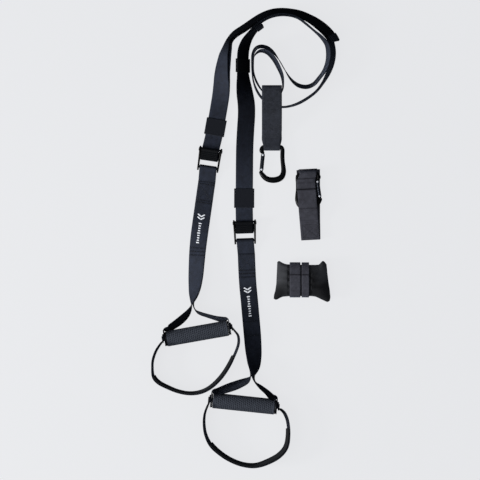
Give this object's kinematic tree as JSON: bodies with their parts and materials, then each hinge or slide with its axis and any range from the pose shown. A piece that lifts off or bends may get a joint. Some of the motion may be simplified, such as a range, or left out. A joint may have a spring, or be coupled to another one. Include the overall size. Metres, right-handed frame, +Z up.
{
  "type": "suspension trainer",
  "caption": "Webbing suspension trainer laid flat: cam-buckle straps, foam grips with foot cradles, anchor tab and carabiner, folded extension strap, door anchor pillow.",
  "frame": {"origin": "centre of the laid-out trainer's box, on the ground", "axes": "+Y from the foot cradles towards the arch of the straps, +Z up off the ground, +X to the right seen from above"},
  "size_m": [0.406, 1.0112, 0.0437],
  "materials": {
    "webbing": "woven polyester webbing, matt",
    "keeper_elastic": "knitted elastic webbing, matt",
    "coated_steel": "black powder coat, satin",
    "bright_steel": "plain bright steel",
    "cam_zinc": "black coated zinc casting, satin",
    "foam": "closed-cell foam, matt, moulded relief",
    "cap_plastic": "moulded plastic, matt",
    "pad_neoprene": "neoprene pad, matt",
    "anodised": "black anodised, glossy",
    "pillow_cloth": "plain cloth over filling, matt"
  },
  "bodies": {
    "straps": {"main_webbing": "webbing", "left_tail_webbing": "webbing", "right_tail_webbing": "webbing", "left_end_tab": "webbing", "right_end_tab": "webbing", "right_upper_keeper": "keeper_elastic", "anchor_tab": "webbing", "yoke_ring": "webbing", "left_buckle_frame": "coated_steel", "left_cam_pin": "coated_steel", "left_fixed_bar": "coated_steel", "left_cam_spring": "bright_steel", "right_buckle_frame": "coated_steel", "right_cam_pin": "coated_steel", "right_fixed_bar": "coated_steel", "right_cam_spring": "bright_steel"},
    "left_keeper": {"left_keeper": "keeper_elastic"},
    "left_cam": {"left_cam_lever": "cam_zinc"},
    "left_handle": {"left_handle_webbing": "webbing", "left_grip_core": "coated_steel"},
    "left_grip": {"left_grip_tube": "cap_plastic", "left_foam_grip": "foam", "left_grip_cap_left": "cap_plastic", "left_grip_cap_right": "cap_plastic"},
    "left_cradle": {"left_cradle_webbing": "webbing", "left_cradle_pad": "pad_neoprene"},
    "right_keeper": {"right_keeper": "keeper_elastic"},
    "right_cam": {"right_cam_lever": "cam_zinc"},
    "right_handle": {"right_handle_webbing": "webbing", "right_grip_core": "coated_steel"},
    "right_grip": {"right_grip_tube": "cap_plastic", "right_foam_grip": "foam", "right_grip_cap_left": "cap_plastic", "right_grip_cap_right": "cap_plastic"},
    "right_cradle": {"right_cradle_webbing": "webbing", "right_cradle_pad": "pad_neoprene"},
    "anchor_carabiner": {"anchor_carabiner_body": "anodised", "anchor_hinge_rivet": "bright_steel"},
    "anchor_gate": {"anchor_carabiner_gate": "anodised", "anchor_latch_rivet": "bright_steel"},
    "extension": {"extension_webbing": "webbing", "extension_carabiner_body": "anodised", "extension_hinge_rivet": "bright_steel"},
    "extension_gate": {"extension_carabiner_gate": "anodised", "extension_latch_rivet": "bright_steel"},
    "door_anchor": {"door_anchor_pillow": "pillow_cloth", "door_anchor_band_wide": "webbing", "door_anchor_band_narrow": "webbing"}
  },
  "joints": [
    {"name": "left_keeper_slide", "type": "slide", "parent": "straps", "child": "left_keeper", "axis": [0.1776, 0.9841, 0], "range_m": [-0.009, 0.01]},
    {"name": "left_cam_pivot", "type": "hinge", "parent": "straps", "child": "left_cam", "pos_m": [-0.07268, 0.1915, 0.01252], "axis": [-0.989, 0.1478, 0], "range_deg": [0, 35], "stiffness_Nm_per_rad": 0.05},
    {"name": "left_handle_swing", "type": "hinge", "parent": "straps", "child": "left_handle", "pos_m": [-0.07833, 0.15372, 0.00547], "axis": [-0.989, 0.1478, 0], "range_deg": [0, 90]},
    {"name": "left_grip_turn", "type": "hinge", "parent": "left_handle", "child": "left_grip", "pos_m": [-0.10181, -0.21031, 0.01937], "axis": [0.9848, 0.1736, 0], "continuous": true},
    {"name": "left_cradle_swing", "type": "hinge", "parent": "left_handle", "child": "left_cradle", "pos_m": [-0.10181, -0.21031, 0.01937], "axis": [-0.9848, -0.1736, 0], "range_deg": [0, 140]},
    {"name": "right_keeper_slide", "type": "slide", "parent": "straps", "child": "right_keeper", "axis": [-0.0049, -1, 0], "range_m": [-0.012, 0.006]},
    {"name": "right_cam_pivot", "type": "hinge", "parent": "straps", "child": "right_cam", "pos_m": [0.00187, 0.03196, 0.01252], "axis": [-0.9994, -0.0349, 0], "range_deg": [0, 35], "stiffness_Nm_per_rad": 0.05},
    {"name": "right_handle_swing", "type": "hinge", "parent": "straps", "child": "right_handle", "pos_m": [0.00321, -0.00622, 0.00547], "axis": [-0.9994, -0.0349, 0], "range_deg": [0, 90]},
    {"name": "right_grip_turn", "type": "hinge", "parent": "right_handle", "child": "right_grip", "pos_m": [0.00027, -0.36431, 0.01937], "axis": [0.9945, -0.1045, 0], "continuous": true},
    {"name": "right_cradle_swing", "type": "hinge", "parent": "right_handle", "child": "right_cradle", "pos_m": [0.00027, -0.36431, 0.01937], "axis": [-0.9945, 0.1045, 0], "range_deg": [0, 60]},
    {"name": "anchor_carabiner_swing", "type": "hinge", "parent": "straps", "child": "anchor_carabiner", "pos_m": [0.06231, 0.19873, 0.00777], "axis": [-1, 0, 0], "range_deg": [0, 100]},
    {"name": "anchor_gate_pivot", "type": "hinge", "parent": "anchor_carabiner", "child": "anchor_gate", "pos_m": [0.04231, 0.18173, 0.00777], "axis": [0, 0, 1], "range_deg": [0, 30], "stiffness_Nm_per_rad": 0.03},
    {"name": "extension_lift", "type": "slide", "parent": "straps", "child": "extension", "axis": [0, 0, 1], "range_m": [0, 0.15]},
    {"name": "extension_gate_pivot", "type": "hinge", "parent": "extension", "child": "extension_gate", "pos_m": [0.16188, 0.12258, 0.01427], "axis": [0, 0, -1], "range_deg": [0, 30], "stiffness_Nm_per_rad": 0.03},
    {"name": "door_anchor_lift", "type": "slide", "parent": "straps", "child": "door_anchor", "axis": [0, 0, 1], "range_m": [0, 0.15]}
  ]
}
